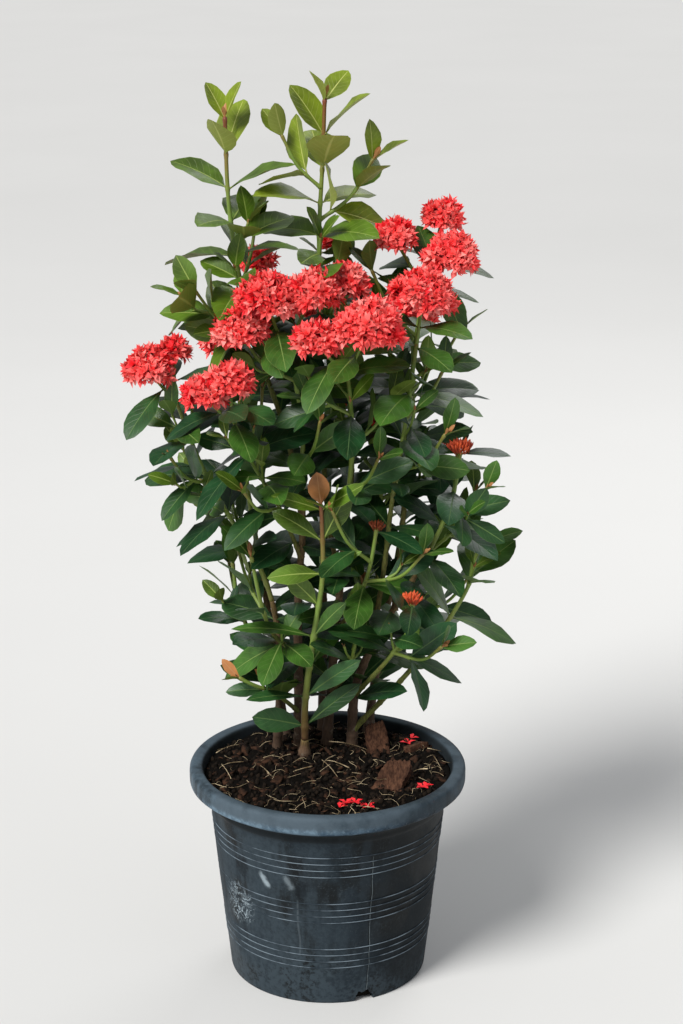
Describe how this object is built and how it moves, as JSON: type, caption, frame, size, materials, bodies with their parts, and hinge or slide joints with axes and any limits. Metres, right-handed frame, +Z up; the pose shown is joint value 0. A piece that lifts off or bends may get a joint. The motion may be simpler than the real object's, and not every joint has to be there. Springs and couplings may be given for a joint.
{
  "type": "potted ixora",
  "caption": "Flowering shrub of several woody canes with glossy opposite leaves and domed heads of red blossom, in a round tapering nursery pot.",
  "frame": {"origin": "centre of the pot's flat underside", "axes": "+Z up, +X to the viewer's right and +Y away from the viewer of the picture"},
  "size_m": [0.4136, 0.3668, 0.963],
  "materials": {
    "pot_plastic": "weathered dark blue-grey plastic, dusty, with pale scuffs",
    "potting_mix": "dark brown humus with fibres and bark, matt",
    "bark_chip": "red-brown pine bark, matt",
    "bark": "thin brown bark, finely ridged, matt",
    "foliage": "glossy dark green leaves, yellow-green young growth, coral-red blossom"
  },
  "bodies": {
    "root": {"pot": "pot_plastic", "potting_mix": "potting_mix", "bark_chip_tall": "bark_chip", "bark_chip_front": "bark_chip", "bark_chip_right": "bark_chip", "front_cane": "bark", "centre_cane": "bark", "left_cane": "bark", "right_cane": "bark", "mid_cane": "bark", "back_cane": "bark", "back_left_cane": "bark", "back_right_cane": "bark", "low_left_bough": "bark", "left_mid_bough": "bark", "left_inner_bough": "bark", "top_left_bough": "bark", "heart_bough": "bark", "low_mid_bough": "bark", "top_centre_bough": "bark", "upper_mid_bough": "bark", "right_outer_bough": "bark", "low_right_bough": "bark", "mid_right_bough": "bark", "top_right_bough": "bark", "inner_bough": "bark", "back_low_bough": "bark", "back_left_low_bough": "bark", "back_right_low_bough": "bark", "front_shoot": "foliage", "low_left_spray": "foliage", "left_mid_spray": "foliage", "low_mid_spray": "foliage", "low_right_spray": "foliage", "heart_spray": "foliage", "right_outer_shoot": "foliage", "right_bud_spray": "foliage", "left_outer_spray": "foliage", "left_inner_spray": "foliage", "centre_spray": "foliage", "mid_spray": "foliage", "upper_mid_spray": "foliage", "mid_right_spray": "foliage", "inner_spray": "foliage", "top_left_shoot": "foliage", "top_centre_shoot": "foliage", "top_right_spray": "foliage", "back_left_spray": "foliage", "back_spray": "foliage", "back_right_spray": "foliage", "back_low_spray": "foliage", "back_left_low_spray": "foliage", "back_right_low_spray": "foliage"}
  },
  "joints": []
}
